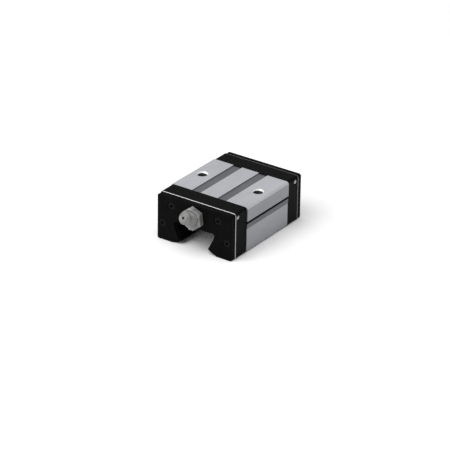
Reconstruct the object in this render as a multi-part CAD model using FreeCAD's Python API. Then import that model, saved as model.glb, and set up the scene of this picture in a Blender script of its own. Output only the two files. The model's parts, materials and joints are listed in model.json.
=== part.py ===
import FreeCAD, Part
import math
import os

# Linear guide carriage, size 25, short two-hole block.
# Frame: origin at the centre of the mounting face, +Z up out of that face,
# +Y along the rail, away from the grease nipple.  Millimetres.

V = FreeCAD.Vector

# --- driving dimensions -------------------------------------------------
HALF_BLOCK = 18.6          # half length of the steel block
CAP_THICK = 9.4            # plastic end cap
PLATE_THICK = 0.55         # steel backing plate
PLATE_BEVEL = 0.35         # bevel on its outward edge
SEAL_THICK = 3.05          # rubber end seal
HALF_W_UP = 24.0           # half width above the side groove
HALF_W_LOW = 23.6          # half width below it
BLOCK_BOTTOM = -25.0
CAP_HALF_W = 23.45
CAP_TOP = -0.1
CAP_BOTTOM = -25.4
PLATE_BOTTOM = -25.7
HOLE_X = 17.5              # half the tapped-hole spacing
TAP_R = 2.5                # M6 core hole
TAP_DEPTH = 7.6
TAP_LEAD_IN = 1.1          # depth of the cone at its mouth
TOP_CORNER = 1.4           # fillet along the upper long edges
GROOVE_IN = 5.27           # shallow grooves in the top face
GROOVE_OUT = 10.70
GROOVE_DEPTH = 0.6
SIDE_GROOVE_IN = 22.7      # floor of the groove along each side
SIDE_GROOVE_TOP = -8.15
SIDE_GROOVE_LOW = -9.2

BALL_R = 1.9845            # 5/32 inch ball
TURN_R = 4.02              # ball centres around each turn
PITCH = math.pi * TURN_R / 3
LEAD = 4.5 * PITCH         # tangent point of each turn
CHANNEL_R = 2.15           # plastic ball channel
RACE_R = 2.06              # ground race
TUBE_R = 2.6               # return tube outside
TUBE_BORE_R = 2.62
LOAD_AT = {"upper": (12.4, -16.2), "lower": (10.4, -20.9)}
RETURN_AT = {"upper": (19.362, -12.18), "lower": (18.434, -20.6)}

SCREWS = [(14.5, -5.5), (20.2, -16.5)]
SCREW_R = 1.2              # M2.5 cap screws
SCREW_CORE_R = 1.25
SCREW_CLEAR_R = 1.35
SCREW_HOLE_R = 1.4         # through the plate and the seal
SCREW_HEAD_R = 2.12
SCREW_POCKET_R = 2.2
PORT_R = 2.6               # threaded grease port in each cap
PORT_CLEAR_R = 3.1         # clearance through the plate and the seal
PLUG_R = 1.5               # plug in the side port
NIPPLE_Z = -7.5
NIPPLE_TILT = 25.0         # degrees the head leans up from the axis of its thread
SIDE_PORT = (25.9, -3.0)   # distance along Y, height

CAP_END = HALF_BLOCK + CAP_THICK
PLATE_END = CAP_END + PLATE_THICK
SEAL_END = PLATE_END + SEAL_THICK
THROUGH = 20.0             # half length of anything cut right through the block
SIDES = {"left": -1, "right": 1}
ENDS = {"front": -1, "rear": 1}

os.makedirs("parts", exist_ok=True)


# --- helpers --------------------------------------------------------------
def save(name, shape):
    shape.exportStep("parts/" + name + ".step")


def prism(points, y0, y1):
    """Extrude a closed XZ outline from y0 to y1."""
    pts = [V(x, y0, z) for x, z in points]
    return Part.Face(Part.makePolygon(pts + [pts[0]])).extrude(V(0, y1 - y0, 0))


def mirrored(half):
    """Close a right-hand outline with its own mirror image."""
    return half + [(-x, z) for x, z in reversed(half) if x > 1e-6]


def rod(x, z, r, y0, y1):
    return Part.makeCylinder(r, y1 - y0, V(x, y0, z), V(0, 1, 0))


def cone_y(x, z, r0, r1, y0, y1):
    """Cone along Y, radius r0 at y0 and r1 at y1 > y0."""
    return Part.makeCone(r0, r1, y1 - y0, V(x, y0, z), V(0, 1, 0))


def flip_x(shape):
    return shape.mirror(V(0, 0, 0), V(1, 0, 0))


def flip_y(shape):
    return shape.mirror(V(0, 0, 0), V(0, 1, 0))


def on_side(shape, side):
    return shape if side > 0 else flip_x(shape)


def at_end(shape, end):
    return shape if end > 0 else flip_y(shape)


def both_sides(shape):
    return [shape, flip_x(shape)]


def along_y(shape, radius, test):
    """Fillet the Y-running edges whose middle passes test(x, z)."""
    edges = []
    for e in shape.Edges:
        box = e.BoundBox
        if box.XLength < 1e-4 and box.ZLength < 1e-4 and test(box.XMin, box.ZMin):
            edges.append(e)
    return shape.makeFillet(radius, edges)


def offset_outline(points, grow):
    """Offset a closed XZ outline outwards by grow."""
    pts = [V(x, 0, z) for x, z in points]
    wire = Part.makePolygon(pts + [pts[0]])
    out = wire.makeOffset2D(grow, 2)
    return [(p.Point.x, p.Point.z) for p in out.OrderedVertexes]


def ball_path(row):
    """Centre of a turn in XZ and the unit vector from load to return line."""
    lx, lz = LOAD_AT[row]
    rx, rz = RETURN_AT[row]
    length = math.hypot(rx - lx, rz - lz)
    return (lx + rx) / 2, (lz + rz) / 2, V((rx - lx) / length, 0, (rz - lz) / length)


def turned_section(row, outline, arc, start):
    """Sweep a section around the rear turn and down its straight lead.

    outline holds (radius, offset) points; the edge after index arc[0] is an arc
    through the point arc[1].
    """
    mx, mz, u = ball_path(row)
    w = V(0, 1, 0).cross(u)
    mid = V(mx, LEAD, mz)

    def face(way):
        pts = [mid + u * (way * r) + w * off for r, off in outline]
        via = mid + u * (way * arc[1][0]) + w * arc[1][1]
        edges = []
        for i, here in enumerate(pts):
            there = pts[(i + 1) % len(pts)]
            if i == arc[0]:
                edges.append(Part.Arc(here, via, there).toShape())
            else:
                edges.append(Part.makeLine(here, there))
        return Part.Face(Part.Wire(edges))

    bend = face(-1).revolve(mid, w, 180)
    lead = face(-1).fuse(face(1)).removeSplitter().extrude(V(0, start - LEAD, 0))
    return bend.fuse(lead).removeSplitter()


def turn_pocket(row, start):
    """Racetrack hollow that holds the turning balls and their guide."""
    r = CHANNEL_R
    outline = [(0, -r), (TURN_R, -r), (TURN_R, r), (0, r)]
    return turned_section(row, outline, (1, (TURN_R + r, 0)), start)


def half_spool(row, start):
    """Guide that fills the inside of the turn."""
    r = CHANNEL_R
    half_w = r - 0.05
    rim = 3.2
    edge = math.sqrt(r ** 2 - (TURN_R - rim) ** 2)
    outline = [(0, -half_w), (rim, -half_w), (rim, -edge), (rim, edge), (rim, half_w), (0, half_w)]
    return turned_section(row, outline, (2, (TURN_R - r, 0)), start)


# --- outlines ---------------------------------------------------------------
RAIL_HALF = [(0, -13.8), (11.0, -13.8), (11.9, -14.6), (11.6, -16.5), (10.3, -19.2),
             (9.1, -21.6), (8.0, -23.4), (9.7, -24.3), (11.6, -25.3), (12.9, -25.7), (13.4, -30.0)]
RAIL_CUT = mirrored(RAIL_HALF)


def shell(inset, top, bottom, y0, y1, corner):
    """Rounded slab with the outer outline shared by the caps, plates and seals."""
    half = CAP_HALF_W - inset
    body = prism([(-half, bottom), (half, bottom), (half, top), (-half, top)], y0, y1)
    body = along_y(body, corner, lambda x, z: z > -1.5)
    return along_y(body, 0.8, lambda x, z: z < -20)


# --- steel block -------------------------------------------------------------
block_half = [(0, 0), (GROOVE_IN, 0), (GROOVE_IN, -GROOVE_DEPTH), (GROOVE_OUT, -GROOVE_DEPTH),
              (GROOVE_OUT, 0), (HALF_W_UP, 0), (HALF_W_UP, SIDE_GROOVE_TOP),
              (SIDE_GROOVE_IN, SIDE_GROOVE_TOP), (SIDE_GROOVE_IN, SIDE_GROOVE_LOW),
              (HALF_W_UP - 0.05, SIDE_GROOVE_LOW),
              (HALF_W_LOW, -12.2), (HALF_W_LOW, BLOCK_BOTTOM + 0.5), (HALF_W_LOW - 0.5, BLOCK_BOTTOM),
              (14.5, BLOCK_BOTTOM), (14.5, -24.3), (11.2, -24.3), (11.2, -21.8), (10.94, -21.16),
              (12.94, -16.46), (13.6, -14.9), (13.6, -13.6), (0, -13.6)]
block = prism(mirrored(block_half), -HALF_BLOCK, HALF_BLOCK)
block = along_y(block, TOP_CORNER, lambda x, z: abs(x) > 23.5 and abs(z) < 0.1)
cuts = []
for s in (-1, 1):
    for row in ("upper", "lower"):
        lx, lz = LOAD_AT[row]
        rx, rz = RETURN_AT[row]
        cuts.append(rod(s * lx, lz, RACE_R, -THROUGH, THROUGH))
        cuts.append(rod(s * rx, rz, TUBE_BORE_R, -THROUGH, THROUGH))
    cuts.append(Part.makeCylinder(TAP_R, TAP_DEPTH + 1, V(s * HOLE_X, 0, -TAP_DEPTH)))
    cuts.append(Part.makeCone(0, TAP_R, 1.4, V(s * HOLE_X, 0, -TAP_DEPTH - 1.4)))
    cuts.append(Part.makeCone(TAP_R, TAP_R + 0.62, TAP_LEAD_IN, V(s * HOLE_X, 0, -TAP_LEAD_IN)))
    for x, z in SCREWS:
        for y in (-THROUGH, THROUGH - 8):
            cuts.append(rod(s * x, z, SCREW_CORE_R, y, y + 8))
block = block.cut(cuts)
save("carriage_block", block)

# --- end caps ------------------------------------------------------------------
cap = shell(0, CAP_TOP, CAP_BOTTOM, HALF_BLOCK, CAP_END, TOP_CORNER)
cap = cap.cut(prism(RAIL_CUT, HALF_BLOCK - 1, CAP_END + 1))
cuts = []
for row in ("upper", "lower"):
    cuts += both_sides(turn_pocket(row, HALF_BLOCK - 0.5))
for x, z in SCREWS:
    cuts += both_sides(rod(x, z, SCREW_CLEAR_R, HALF_BLOCK - 1, CAP_END + 1))
port_y, port_z = SIDE_PORT
cuts += both_sides(Part.makeCylinder(PLUG_R + 0.05, 8, V(19.4, port_y, port_z), V(1, 0, 0)))
cuts.append(rod(0, NIPPLE_Z, PORT_R, HALF_BLOCK - 1, CAP_END + 1))
# grease galleries on the face against the block
cuts += both_sides(Part.makeBox(15.2, 1.6, 1.2, V(0, HALF_BLOCK - 0.6, NIPPLE_Z - 0.6)))
cuts += both_sides(Part.makeBox(1.2, 1.6, 5.6, V(14.8, HALF_BLOCK - 0.6, NIPPLE_Z - 5.0)))
cap = cap.cut(cuts)
for name, end in ENDS.items():
    save("end_cap_" + name, at_end(cap, end))

# --- backing plates: thin steel, outward edge bevelled ----------------------------
plate_cut = mirrored([(0, -12.6), (11.9, -12.6), (13.0, -14.2), (12.7, -16.8), (10.2, -22.0),
                      (9.4, -23.5), (10.6, -24.2), (12.2, -25.0), (13.6, -30.0)])
plate = shell(0, CAP_TOP, PLATE_BOTTOM, CAP_END, PLATE_END, TOP_CORNER)
rim = [e for e in plate.Edges if e.BoundBox.YMin > PLATE_END - 1e-4]
plate = plate.makeChamfer(PLATE_BEVEL, rim)
plate = plate.cut(prism(plate_cut, CAP_END - 1, PLATE_END + 1))
holes = [rod(0, NIPPLE_Z, PORT_CLEAR_R, CAP_END - 1, PLATE_END + 1)]
for x, z in SCREWS:
    holes += both_sides(rod(x, z, SCREW_HOLE_R, CAP_END - 1, PLATE_END + 1))
plate = plate.cut(holes)
for name, end in ENDS.items():
    save("backing_plate_" + name, at_end(plate, end))

# --- end seals: rubber on the outside, wiping lips follow the rail -------------------
seal = shell(PLATE_BEVEL, CAP_TOP - PLATE_BEVEL, PLATE_BOTTOM, PLATE_END, SEAL_END, 1.2)
rim = [e for e in seal.Edges if e.BoundBox.YMin > SEAL_END - 1e-4]
seal = seal.makeChamfer(0.25, rim)
seal = seal.cut(prism(RAIL_CUT, PLATE_END - 1, SEAL_END + 1))
lip_cut = offset_outline(RAIL_CUT, 0.8)
seal = seal.cut(prism(lip_cut, SEAL_END - 0.9, SEAL_END + 1))
holes = [rod(0, NIPPLE_Z, PORT_CLEAR_R, PLATE_END - 1, SEAL_END + 1)]
for x, z in SCREWS:
    pocket = rod(x, z, SCREW_HOLE_R, PLATE_END - 1, PLATE_END + 1.2)
    pocket = pocket.fuse([cone_y(x, z, SCREW_HOLE_R, SCREW_POCKET_R, PLATE_END + 1.1, PLATE_END + 1.9),
                          rod(x, z, SCREW_POCKET_R, PLATE_END + 1.9, SEAL_END + 1)])
    holes += both_sides(pocket)
seal = seal.cut(holes)
for name, end in ENDS.items():
    save("end_seal_" + name, at_end(seal, end))

# --- ball retainers and bottom seals ---------------------------------------------------
RUN = HALF_BLOCK - 0.05
upper_l = LOAD_AT["upper"]
lower_l = LOAD_AT["lower"]
mid = ((upper_l[0] + lower_l[0]) / 2, (upper_l[1] + lower_l[1]) / 2)
down = (-0.3915, -0.9202)
inward = (-0.9202, 0.3915)


def wall(s, h):
    """Point s along the raceway wall and h out of it, from between the rows."""
    return mid[0] + s * down[0] + h * inward[0], mid[1] + s * down[1] + h * inward[1]


races = [rod(x, z, RACE_R + 0.06, -THROUGH, THROUGH) for x, z in (upper_l, lower_l)]
bars = {
    "upper_retainer": [(10.3, -13.65), (13.55, -13.65), (13.55, -14.6), (12.4, -14.6), (12.4, -14.75),
                       (10.3, -14.75)],
    "middle_retainer": [wall(-1.2, -0.55), wall(1.2, -0.55), wall(1.2, 0.95), wall(-1.2, 0.05)],
    "lower_retainer": [(8.72, -22.1), (8.6, -23.2), (9.75, -24.2), (11.15, -24.2), (11.15, -22.2),
                       (9.6, -21.9)],
    "bottom_seal": [(9.8, -24.35), (14.4, -24.35), (14.4, -24.95), (11.0, -24.95), (9.8, -24.45)],
}
for name, outline in bars.items():
    bar = prism(outline, -RUN, RUN).cut(races)
    for side, s in SIDES.items():
        save(name + "_" + side, on_side(bar, s))

# --- return tubes and turn guides ---------------------------------------------------------
for row in ("upper", "lower"):
    rx, rz = RETURN_AT[row]
    tube = rod(rx, rz, TUBE_R, -RUN, RUN).cut(rod(rx, rz, CHANNEL_R, -THROUGH, THROUGH))
    guide = half_spool(row, HALF_BLOCK + 0.05)
    for side, s in SIDES.items():
        save("return_tube_" + row + "_" + side, on_side(tube, s))
        for end_name, end in ENDS.items():
            save("return_guide_" + end_name + "_" + row + "_" + side, at_end(on_side(guide, s), end))


# --- balls ----------------------------------------------------------------------------------
def balls(centres):
    return Part.makeCompound([Part.makeSphere(BALL_R, c) for c in centres])


for row in ("upper", "lower"):
    lx, lz = LOAD_AT[row]
    rx, rz = RETURN_AT[row]
    mx, mz, u = ball_path(row)
    load = balls([V(lx, k * PITCH, lz) for k in range(-4, 5)])
    back = balls([V(rx, k * PITCH, rz) for k in range(-4, 5)])
    angles = [math.radians(a) for a in (30, 90, 150)]
    turn = balls([V(mx, LEAD, mz) - u * (TURN_R * math.cos(a)) + V(0, TURN_R * math.sin(a), 0)
                  for a in angles])
    for side, s in SIDES.items():
        save("load_balls_" + row + "_" + side, on_side(load, s))
        save("return_balls_" + row + "_" + side, on_side(back, s))
        for end_name, end in ENDS.items():
            save("turn_balls_" + end_name + "_" + row + "_" + side, at_end(on_side(turn, s), end))


# --- fasteners and plugs -----------------------------------------------------------------------
def hexagon(across, y0, y1, x, z):
    """Hexagonal prism along Y with two flats facing +-Z."""
    r = across / math.sqrt(3)
    angles = [math.radians(60 * k) for k in range(6)]
    return prism([(x + r * math.cos(a), z + r * math.sin(a)) for a in angles], y0, y1)


def cap_screw(x, z):
    """Countersunk M2.5 socket screw, head sunk in the rubber."""
    top = SEAL_END - 0.35
    cone_end = PLATE_END + 1.95
    screw = rod(x, z, SCREW_HEAD_R, cone_end, top)
    screw = screw.fuse([cone_y(x, z, SCREW_CLEAR_R, SCREW_HEAD_R, cone_end - 0.77, cone_end),
                        rod(x, z, SCREW_R, 12.6, cone_end - 0.65)])
    return screw.cut(hexagon(1.7, top - 0.9, top + 1, x, z))


screws = []
for x, z in SCREWS:
    screws += both_sides(cap_screw(x, z))
PLUG_IN = 19.5
DOME_R = 2.6
plug_at = V(PLUG_IN, port_y, port_z)
side_plug = Part.makeCylinder(PLUG_R, CAP_HALF_W - 0.02 - PLUG_IN, plug_at, V(1, 0, 0))
dome = Part.makeSphere(DOME_R, V(CAP_HALF_W - 0.05 - DOME_R, port_y, port_z))
dome = dome.fuse(Part.makeCylinder(2 * PLUG_R, 2.5, plug_at - V(0.1, 0, 0), V(1, 0, 0)))
side_plug = side_plug.common(dome)
for name, end in ENDS.items():
    save("cap_screws_" + name, at_end(Part.makeCompound(screws), end))
    save("side_plugs_" + name, at_end(Part.makeCompound(both_sides(side_plug)), end))

PORT_PLUG_R = PORT_R - 0.05
rear_plug = rod(0, NIPPLE_Z, PORT_PLUG_R, 22.0, CAP_END + 0.1)
rear_plug = rear_plug.fuse(rod(0, NIPPLE_Z, PORT_CLEAR_R - 0.1, CAP_END + 0.05, SEAL_END - 0.3))
rear_plug = rear_plug.cut(hexagon(3.0, SEAL_END - 2.6, SEAL_END + 1, 0, NIPPLE_Z))
save("rear_port_plug", rear_plug)

# --- grease nipple: hexagon base, head leaning up and outwards --------------------------------------
FACE = -SEAL_END
HEX_ACROSS = 11.0
HEX_HIGH = 3.0
HEX_TURN = 8.0             # degrees the hexagon stopped short of square
HEX_CORNER_R = HEX_ACROSS / math.sqrt(3)
BORE_R = 0.75
SPRING_BORE_R = 1.25
SPRING_FLOOR = 1.0         # both along the head from the bend
SPRING_ROOF = 7.7
BEND = V(0, FACE - 2.0, NIPPLE_Z)
HEAD_LONG = 8.4
OUT = V(0, -math.cos(math.radians(NIPPLE_TILT)), math.sin(math.radians(NIPPLE_TILT)))


def turned(profile):
    """Revolve (radius, distance) points about the head's axis, distances from the bend."""
    pts = [V(r, -d, 0) for r, d in profile]
    shape = Part.Face(Part.makePolygon(pts + [pts[0]])).revolve(V(0, 0, 0), V(0, 1, 0), 360)
    shape.rotate(V(0, 0, 0), V(1, 0, 0), -NIPPLE_TILT)
    shape.translate(BEND)
    return shape


head = turned([(0, 0), (4.3, 0), (4.3, 1.6), (3.3, 3.2), (2.4, 4.3), (2.3, 4.9), (3.1, 5.6), (3.35, 6.3),
               (3.35, 6.9), (3.0, 7.5), (2.3, 8.15), (2.0, HEAD_LONG), (0, HEAD_LONG)])
hex_part = hexagon(HEX_ACROSS, FACE - HEX_HIGH, FACE, 0, NIPPLE_Z)
hex_part.rotate(V(0, 0, NIPPLE_Z), V(0, 1, 0), 30 - HEX_TURN)
rounding = cone_y(0, NIPPLE_Z, HEX_ACROSS / 2 - 0.2, 7.0, FACE - HEX_HIGH - 0.01, FACE - HEX_HIGH + 1.0)
rounding = rounding.fuse(rod(0, NIPPLE_Z, HEX_CORNER_R + 0.6, FACE - HEX_HIGH + 0.99, FACE + 1))
hex_part = hex_part.common(rounding)
nipple = head.fuse([hex_part, rod(0, NIPPLE_Z, PORT_CLEAR_R - 0.15, FACE - 0.5, -CAP_END - 0.05),
                    rod(0, NIPPLE_Z, PORT_PLUG_R, -CAP_END - 0.5, -22.2)]).removeSplitter()
mouth = turned([(0, 0), (BORE_R, 0), (BORE_R, HEAD_LONG + 1), (0, HEAD_LONG + 1)])
spring_room = turned([(0, SPRING_FLOOR), (SPRING_BORE_R, SPRING_FLOOR),
                      (SPRING_BORE_R, SPRING_ROOF), (0, SPRING_ROOF)])
passage = rod(0, NIPPLE_Z, BORE_R, BEND.y, -21)
nipple = nipple.cut([mouth, spring_room, passage, Part.makeSphere(BORE_R, BEND)])
save("nipple_body", nipple)

CHECK_R = 1.1
seat = SPRING_ROOF - math.sqrt(CHECK_R ** 2 - BORE_R ** 2) - 0.03
save("nipple_check_ball", Part.makeSphere(CHECK_R, BEND + OUT * seat))

WIRE_R = 0.14
COIL_R = 0.88
COILS = 6
spring_low = SPRING_FLOOR + WIRE_R + 0.03
spring_high = seat - CHECK_R + 0.06
helix = Part.makeHelix((spring_high - spring_low) / COILS, spring_high - spring_low, COIL_R)
wire = Part.Wire(Part.makeCircle(WIRE_R, V(COIL_R, 0, 0), V(0, 1, 0)))
spring = Part.Wire(helix).makePipeShell([wire], True, True)
spring.rotate(V(0, 0, 0), V(1, 0, 0), 90 - NIPPLE_TILT)
spring.translate(BEND + OUT * spring_low)
save("nipple_spring", spring)
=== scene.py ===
import json
import math

import bpy
from mathutils import Matrix, Vector

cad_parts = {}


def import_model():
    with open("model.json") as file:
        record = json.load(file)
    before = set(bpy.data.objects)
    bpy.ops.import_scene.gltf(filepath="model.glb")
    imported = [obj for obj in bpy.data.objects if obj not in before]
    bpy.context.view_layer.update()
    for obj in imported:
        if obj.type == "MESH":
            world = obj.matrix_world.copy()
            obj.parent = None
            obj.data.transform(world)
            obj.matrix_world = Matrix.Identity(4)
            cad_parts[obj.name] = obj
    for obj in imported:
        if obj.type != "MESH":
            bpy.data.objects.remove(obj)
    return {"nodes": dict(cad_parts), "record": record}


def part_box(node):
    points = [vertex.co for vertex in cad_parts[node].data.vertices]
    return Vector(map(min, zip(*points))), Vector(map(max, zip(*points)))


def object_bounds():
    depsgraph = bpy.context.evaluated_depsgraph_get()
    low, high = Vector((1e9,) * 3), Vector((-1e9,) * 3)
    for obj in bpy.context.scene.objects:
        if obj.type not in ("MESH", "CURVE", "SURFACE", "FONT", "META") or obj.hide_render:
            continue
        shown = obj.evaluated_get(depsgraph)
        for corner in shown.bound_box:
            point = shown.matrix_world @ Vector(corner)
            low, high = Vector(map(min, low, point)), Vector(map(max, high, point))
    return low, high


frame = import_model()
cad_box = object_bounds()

nodes = frame["nodes"]
MM = 0.001

# --- places read from the frame -----------------------------------------------------
block_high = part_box("carriage_block")[1]
SIDE_FACE = block_high.x / MM
table_holes = next(m for m in frame["record"]["mounts"] if m["name"] == "table_holes")
HOLE_X = table_holes["dims"]["spacing_x_mm"] / 2 * MM
HOLE_R = table_holes["dims"]["hole_r_mm"] * MM
FLOOR_Z = cad_box[0].z - 0.02 * MM

# --- where the block's finish and painted shade change, in millimetres --------------
TOP_GROOVE_Z = (-0.75, -0.35)       # a slice that holds the floor of the two top grooves
TOP_GROOVE_X = 11.2                 # just outside their outer walls
SIDE_X = SIDE_FACE - 0.55           # the side's painted shade starts on the rounded corner, near its lower end
SIDE_Z = -1.15                      # near its lower end
SHOULDER_Z = (-12.3, -9.0)          # the slope below the side groove, darker with painted shade
LOWER_Z = -9.0                      # the lower part of the side starts here; its painted shade is a little lighter
SLOT_Z = (-9.5, -8.0)               # the side groove itself, painted near black as shade
SLOT_X = 22.5                       # just inside its floor
HOLE_Z = (-10.0, -0.03)
HOLE_MOUTH = 1.26                   # reach of the hole's painted highlight and shade, in hole radii
THREAD_TOP = -0.8                   # the thread's shading starts here, low on the mouth's cone
THREAD_PITCH = 1.0
PLATE_BEVEL_Y = 28.36               # about the middle of the backing plates' bevel

# --- tones of the block, with painted shade and highlight on sides and holes --------
TOP_DARK = (0.505, 0.515, 0.547)
TOP_LIGHT = (0.570, 0.580, 0.614)
GROOVE_TONE = (0.150, 0.150, 0.168)
# painted shade of the sides: darker than the top, a little lighter low down, darker on the
# shoulder, near black in the side groove
SIDE_PAINTED_SHADE = (0.252, 0.256, 0.273)
LOWER_SIDE_PAINTED_SHADE = (0.305, 0.310, 0.330)
SHOULDER_PAINTED_SHADE = (0.115, 0.117, 0.125)
SLOT_PAINTED_SHADE = (0.012, 0.012, 0.014)
# painted highlight on the holes' mouths
MOUTH_PAINTED_HIGHLIGHT = (0.97, 0.97, 0.98)
# painted shade down the holes' threads
THREAD_PAINTED_SHADE = (0.035, 0.036, 0.042)

# the middle of a noise, where nearly all of its values lie
NOISE_LOW, NOISE_HIGH = 0.3, 0.7
EVEN = (1, 1, 1)


# --- node helpers -------------------------------------------------------------------
class Graph:
    """A material under construction; its methods add nodes and return their outputs."""

    def __init__(self, name):
        self.material = bpy.data.materials.new(name)
        self.material.use_nodes = True
        self.tree = self.material.node_tree
        self.shader = self.tree.nodes["Principled BSDF"]

    def add(self, kind, **settings):
        """New node; a setting is an input's value where an input has that name."""
        node = self.tree.nodes.new(kind)
        for key, value in settings.items():
            if key in node.inputs:
                node.inputs[key].default_value = value
            else:
                setattr(node, key, value)
        return node

    def link(self, source, target):
        self.tree.links.new(source, target)

    def math(self, operation, a, b=None, clamp=False):
        node = self.add("ShaderNodeMath", operation=operation, use_clamp=clamp)
        for socket, value in zip(node.inputs, (a, b)):
            if isinstance(value, (int, float)):
                socket.default_value = value
            elif value is not None:
                self.link(value, socket)
        return node.outputs[0]

    def axes(self):
        """Object coordinates as x, y and z outputs."""
        source = self.add("ShaderNodeTexCoord")
        split = self.add("ShaderNodeSeparateXYZ")
        self.link(source.outputs["Object"], split.inputs[0])
        return split.outputs

    def noise(self, scale, stretch=EVEN, detail=3.0, rough=0.55):
        """Noise with scale features to the metre; a small stretch makes long streaks."""
        source = self.add("ShaderNodeTexCoord")
        mapping = self.add("ShaderNodeMapping", Scale=stretch)
        node = self.add("ShaderNodeTexNoise", Scale=scale, Detail=detail, Roughness=rough)
        self.link(source.outputs["Object"], mapping.inputs["Vector"])
        self.link(mapping.outputs["Vector"], node.inputs["Vector"])
        return node.outputs["Fac"]

    def vary(self, source, out_low, out_high, low=NOISE_LOW, high=NOISE_HIGH):
        """Stretches source from low..high to out_low..out_high."""
        node = self.add("ShaderNodeMapRange")
        for key, value in (("From Min", low), ("From Max", high),
                           ("To Min", out_low), ("To Max", out_high)):
            node.inputs[key].default_value = value
        self.link(source, node.inputs["Value"])
        return node.outputs["Result"]

    def colour_mix(self, factor, a, b):
        """Colour a where factor is 0, b where it is 1; each is a tuple or an output."""
        node = self.add("ShaderNodeMix", data_type="RGBA")
        self.link(factor, node.inputs[0])
        for socket, value in ((node.inputs[6], a), (node.inputs[7], b)):
            if isinstance(value, tuple):
                socket.default_value = (*value, 1)
            else:
                self.link(value, socket)
        return node.outputs[2]

    def mottle(self, source, dark, light, low=NOISE_LOW, high=NOISE_HIGH):
        """A tone that follows a noise from dark to light."""
        return self.colour_mix(self.vary(source, 0.0, 1.0, low, high), dark, light)

    def above(self, source, limit):
        return self.math("GREATER_THAN", source, limit * MM)

    def below(self, source, limit):
        return self.math("LESS_THAN", source, limit * MM)

    def both(self, a, b):
        return self.math("MULTIPLY", a, b)

    def within(self, source, limits):
        return self.both(self.above(source, limits[0]), self.below(source, limits[1]))

    def bump(self, height, depth, strength, under=None):
        """Surface relief, depth in millimetres, on top of the relief under it."""
        node = self.add("ShaderNodeBump", Strength=strength, Distance=depth * MM)
        self.link(height, node.inputs["Height"])
        if under is not None:
            self.link(under, node.inputs["Normal"])
        return node.outputs["Normal"]

    def finish(self, colour, rough=None, normal=None, **constants):
        """Wires up the shader; constants go straight on its sockets."""
        for key, value in constants.items():
            self.shader.inputs[key.replace("_", " ")].default_value = value
        for name, value in (("Base Color", colour), ("Roughness", rough), ("Normal", normal)):
            if value is not None:
                self.link(value, self.shader.inputs[name])
        return self.material


# --- materials ----------------------------------------------------------------------
def hole_masks(g, away, y, z):
    """Masks of a tapped hole's whole wall and of its thread, and the thread's ridges."""
    across = g.math("SUBTRACT", away, HOLE_X)
    squares = g.math("ADD", g.math("POWER", across, 2.0), g.math("POWER", y, 2.0))
    near = g.math("LESS_THAN", g.math("SQRT", squares), HOLE_R * HOLE_MOUTH)
    in_hole = g.both(near, g.within(z, HOLE_Z))
    thread = g.both(in_hole, g.below(z, THREAD_TOP))
    turn = g.math("DIVIDE", g.math("ARCTAN2", y, across), 2 * math.pi)
    height = g.math("DIVIDE", z, THREAD_PITCH * MM)
    ridge = g.math("PINGPONG", g.math("FRACT", g.math("ADD", height, turn)), 0.5)
    return in_hole, thread, ridge


def ground_steel():
    g = Graph("ground_steel")
    x, y, z = g.axes()
    away = g.math("ABSOLUTE", x)
    lines = g.noise(9000, (1, 0.012, 1))
    blotch = g.noise(160, (1, 0.4, 1))
    fine = g.noise(5200, detail=2.0)

    # grooves on top are left as drawn: darker and rougher than the ground strips
    groove = g.both(g.within(z, TOP_GROOVE_Z), g.below(away, TOP_GROOVE_X))
    # sides: painted shade, darker than the top on the side faces, darker still on the shoulder
    # below the groove, near black in the groove itself
    side = g.both(g.above(away, SIDE_X), g.below(z, SIDE_Z))
    lower = g.both(side, g.below(z, LOWER_Z))
    shoulder = g.both(side, g.within(z, SHOULDER_Z))
    slot = g.both(g.within(z, SLOT_Z), g.above(away, SLOT_X))
    # tapped holes: a painted highlight on the mouth above painted shade on the thread ridges
    in_hole, thread, ridge = hole_masks(g, away, y, z)

    tone = g.mottle(lines, TOP_DARK, TOP_LIGHT, 0.35, 0.65)
    # over the random tone go the top grooves' own tone, then the painted shade and highlight
    # of the sides and holes
    for mask, tone_there in ((groove, GROOVE_TONE), (side, SIDE_PAINTED_SHADE), (lower, LOWER_SIDE_PAINTED_SHADE),
                             (shoulder, SHOULDER_PAINTED_SHADE), (slot, SLOT_PAINTED_SHADE),
                             (in_hole, MOUTH_PAINTED_HIGHLIGHT), (thread, THREAD_PAINTED_SHADE)):
        tone = g.colour_mix(mask, tone, tone_there)
    scaled = g.add("ShaderNodeVectorMath", operation="SCALE")
    g.link(tone, scaled.inputs[0])
    g.link(g.vary(blotch, 0.95, 1.03), scaled.inputs["Scale"])
    rough = g.vary(lines, 0.36, 0.48)
    rough = g.math("ADD", rough, g.math("MULTIPLY", groove, 0.14), clamp=True)
    normal = g.bump(lines, 0.004, 0.5)
    normal = g.bump(g.both(fine, groove), 0.02, 0.6, normal)
    normal = g.bump(g.both(ridge, thread), 0.5, 1.0, normal)
    return g.finish(scaled.outputs[0], rough, normal, Metallic=0.6, Anisotropic=0.3)


def cap_plastic():
    g = Graph("cap_plastic")
    grain = g.noise(3800)
    cloud = g.noise(220, detail=2.0)
    tone = g.mottle(cloud, (0.0020, 0.0020, 0.0022), (0.0034, 0.0034, 0.0036))
    return g.finish(tone, g.vary(grain, 0.38, 0.5), g.bump(grain, 0.02, 0.35), IOR=1.10)


def seal_rubber():
    g = Graph("seal_rubber")
    grain = g.noise(2600, detail=4.0)
    cloud = g.noise(140, detail=2.0)
    tone = g.mottle(cloud, (0.0020, 0.0020, 0.0021), (0.0032, 0.0032, 0.0033))
    return g.finish(tone, g.vary(grain, 0.5, 0.64), g.bump(grain, 0.03, 0.3), IOR=1.10)


def retainer_plastic():
    g = Graph("retainer_plastic")
    grain = g.noise(2400, (1, 0.3, 1))
    tone = g.mottle(grain, (0.040, 0.041, 0.044), (0.058, 0.059, 0.062))
    return g.finish(tone, g.vary(grain, 0.4, 0.5), g.bump(grain, 0.02, 0.3))


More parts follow.
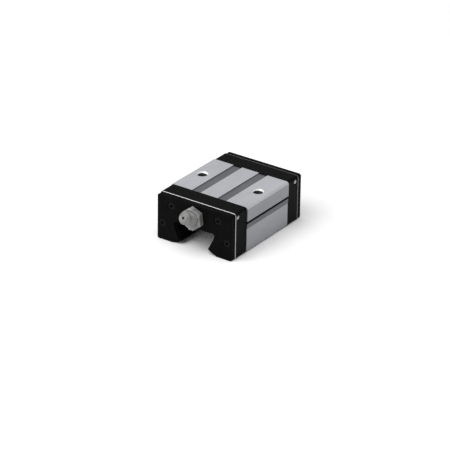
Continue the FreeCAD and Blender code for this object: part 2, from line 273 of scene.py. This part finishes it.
def plate_steel():
    g = Graph("plate_steel")
    lines = g.noise(5200, (0.05, 1, 1))
    tone = g.mottle(lines, (0.34, 0.34, 0.345), (0.43, 0.43, 0.435))
    # the rubber creeps over the outer half of the bevel
    outer = g.above(g.math("ABSOLUTE", g.axes()[1]), PLATE_BEVEL_Y)
    tone = g.colour_mix(outer, tone, (0.010, 0.010, 0.011))
    return g.finish(tone, g.vary(lines, 0.34, 0.46), g.bump(lines, 0.003, 0.4), Metallic=1.0)


def black_screw():
    g = Graph("black_screw")
    grain = g.noise(4200)
    tone = g.mottle(grain, (0.004, 0.004, 0.005), (0.008, 0.008, 0.009))
    return g.finish(tone, g.vary(grain, 0.36, 0.5), g.bump(grain, 0.01, 0.4), IOR=1.14)


def plug_steel():
    g = Graph("plug_steel")
    lines = g.noise(6000, (0.1, 1, 1))
    tone = g.mottle(lines, (0.26, 0.26, 0.265), (0.36, 0.36, 0.365))
    return g.finish(tone, g.vary(lines, 0.3, 0.42), g.bump(lines, 0.004, 0.4), Metallic=0.9)


def nipple_zinc():
    g = Graph("nipple_zinc")
    spots = g.noise(620, detail=5.0, rough=0.65)
    cloud = g.noise(260, (1, 0.6, 1))
    rings = g.noise(5200, (0.1, 1, 0.1), detail=2.0)
    tone = g.mottle(spots, (0.135, 0.135, 0.133), (0.370, 0.370, 0.366), 0.35, 0.65)
    tone = g.mottle(cloud, (0.200, 0.199, 0.196), tone, 0.4, 0.62)
    normal = g.bump(rings, 0.004, 0.4, g.bump(spots, 0.05, 0.5))
    return g.finish(tone, g.vary(spots, 0.5, 0.64), normal, Metallic=0.5)


def ball_steel():
    g = Graph("ball_steel")
    haze = g.noise(700)
    tone = g.mottle(haze, (0.70, 0.71, 0.73), (0.80, 0.81, 0.83))
    return g.finish(tone, g.vary(haze, 0.10, 0.18), Metallic=1.0)


# the check ball is darkened: painted shade inside the nipple's mouth
def check_ball_painted_shade():
    g = Graph("check_ball_painted_shade")
    haze = g.noise(900)
    tone = g.mottle(haze, (0.020, 0.020, 0.021), (0.040, 0.040, 0.042))
    return g.finish(tone, g.vary(haze, 0.45, 0.6), g.bump(haze, 0.01, 0.3), Metallic=0.6)


MATERIALS = {
    "ground_steel": ground_steel(),
    "cap_plastic": cap_plastic(),
    "seal_rubber": seal_rubber(),
    "retainer_plastic": retainer_plastic(),
    "plate_steel": plate_steel(),
    "black_screw": black_screw(),
    "plug_steel": plug_steel(),
    "nipple_zinc": nipple_zinc(),
    "ball_steel": ball_steel(),
}
for entry in frame["record"]["subparts"]:
    mesh = nodes[entry["node"]].data
    mesh.materials.clear()
    mesh.materials.append(MATERIALS[entry["material_slot"]])
# the check ball's darkening is painted shade inside the nipple's mouth
nodes["nipple_check_ball"].data.materials[0] = check_ball_painted_shade()

# --- soft edges on the moulded and ground pieces, radius in millimetres -------------
EDGE_RADIUS = {
    "carriage_block": 0.18,
    "end_cap_front": 0.25,
    "end_cap_rear": 0.25,
    "end_seal_front": 0.2,
    "end_seal_rear": 0.2,
}
SHARP_ANGLE = 40
for name, radius in EDGE_RADIUS.items():
    bevel = nodes[name].modifiers.new("soft_edges", "BEVEL")
    bevel.width = radius * MM
    bevel.segments = 2
    bevel.limit_method = "ANGLE"
    bevel.angle_limit = math.radians(SHARP_ANGLE)
    bevel.use_clamp_overlap = True

# --- floor, light and camera; angles in degrees, the other lengths in metres --------
FLOOR_HALF = 3.0
WORLD_STRENGTH = 0.5
CAMERA_AZIMUTH, CAMERA_ELEVATION, CAMERA_ROLL = 34.567, 25.683, 0.893
CAMERA_DISTANCE = 1.4234
CAMERA_LENS, SENSOR_WIDTH = 221.4, 36.0
# the point looked at: this far across the view from the frame's origin
AIM_RIGHT, AIM_UP = -2.57 * MM, -21.81 * MM


def direction(azimuth, elevation):
    """Unit vector from the origin; azimuth 0 is the front, and grows to the right."""
    a, e = math.radians(azimuth), math.radians(elevation)
    return Vector((math.sin(a) * math.cos(e), -math.cos(a) * math.cos(e), math.sin(e)))


def stand(name, data):
    """Puts a new object into the scene."""
    obj = bpy.data.objects.new(name, data)
    bpy.context.scene.collection.objects.link(obj)
    return obj


def floor_paper():
    g = Graph("floor_paper")
    grain = g.noise(40, detail=2.0)
    tone = g.mottle(grain, (0.90, 0.90, 0.90), (0.93, 0.93, 0.93))
    paper = g.finish(tone, Roughness=0.9, Specular_IOR_Level=0.1)
    # clear from beneath, so the underside can be looked at
    point = g.add("ShaderNodeNewGeometry")
    mixed = g.add("ShaderNodeMixShader")
    clear = g.add("ShaderNodeBsdfTransparent")
    g.link(point.outputs["Backfacing"], mixed.inputs["Fac"])
    g.link(g.shader.outputs["BSDF"], mixed.inputs[1])
    g.link(clear.outputs["BSDF"], mixed.inputs[2])
    g.link(mixed.outputs["Shader"], g.tree.nodes["Material Output"].inputs["Surface"])
    return paper


def floor():
    mesh = bpy.data.meshes.new("floor")
    corners = [(-1, -1), (1, -1), (1, 1), (-1, 1)]
    mesh.from_pydata([(x * FLOOR_HALF, y * FLOOR_HALF, FLOOR_Z) for x, y in corners],
                     [], [(0, 1, 2, 3)])
    obj = stand("floor", mesh)
    mesh.materials.append(floor_paper())


def area_light(name, azimuth, elevation, distance, size, power):
    """Square soft light at a distance from the origin, aimed back at it."""
    out = direction(azimuth, elevation)
    data = bpy.data.lights.new(name, "AREA")
    data.shape = "SQUARE"
    data.size = size
    data.energy = power
    obj = stand(name, data)
    obj.location = out * distance
    obj.rotation_mode = "QUATERNION"
    obj.rotation_quaternion = (-out).to_track_quat("-Z", "Y")


def world():
    made = bpy.data.worlds.new("studio")
    made.use_nodes = True
    background = made.node_tree.nodes["Background"]
    background.inputs["Color"].default_value = (1.0, 1.0, 1.0, 1)
    background.inputs["Strength"].default_value = WORLD_STRENGTH
    bpy.context.scene.world = made


def camera():
    back = direction(CAMERA_AZIMUTH, CAMERA_ELEVATION)
    azimuth, roll = math.radians(CAMERA_AZIMUTH), math.radians(CAMERA_ROLL)
    level = Vector((math.cos(azimuth), math.sin(azimuth), 0))
    raised = back.cross(level)
    place = back * CAMERA_DISTANCE
    right = math.cos(roll) * level + math.sin(roll) * raised
    up = math.cos(roll) * raised - math.sin(roll) * level
    # the camera looks along its own -Z, so this points from the aim to the camera
    look = (place - (right * AIM_RIGHT + up * AIM_UP)).normalized()
    right = up.cross(look).normalized()
    up = look.cross(right)
    data = bpy.data.cameras.new("camera")
    data.sensor_width = SENSOR_WIDTH
    data.lens = CAMERA_LENS
    data.clip_start, data.clip_end = 0.05, 20.0
    obj = stand("camera", data)
    turn = Matrix((right, up, look)).transposed().to_4x4()
    obj.matrix_world = Matrix.Translation(place) @ turn
    bpy.context.scene.camera = obj


floor()
world()
area_light("overhead", azimuth=20, elevation=80, distance=1.2, size=1.2, power=9.0)
area_light("left_front", azimuth=-30, elevation=42, distance=1.3, size=1.0, power=10.0)
camera()
bpy.context.scene.view_settings.view_transform = "Standard"
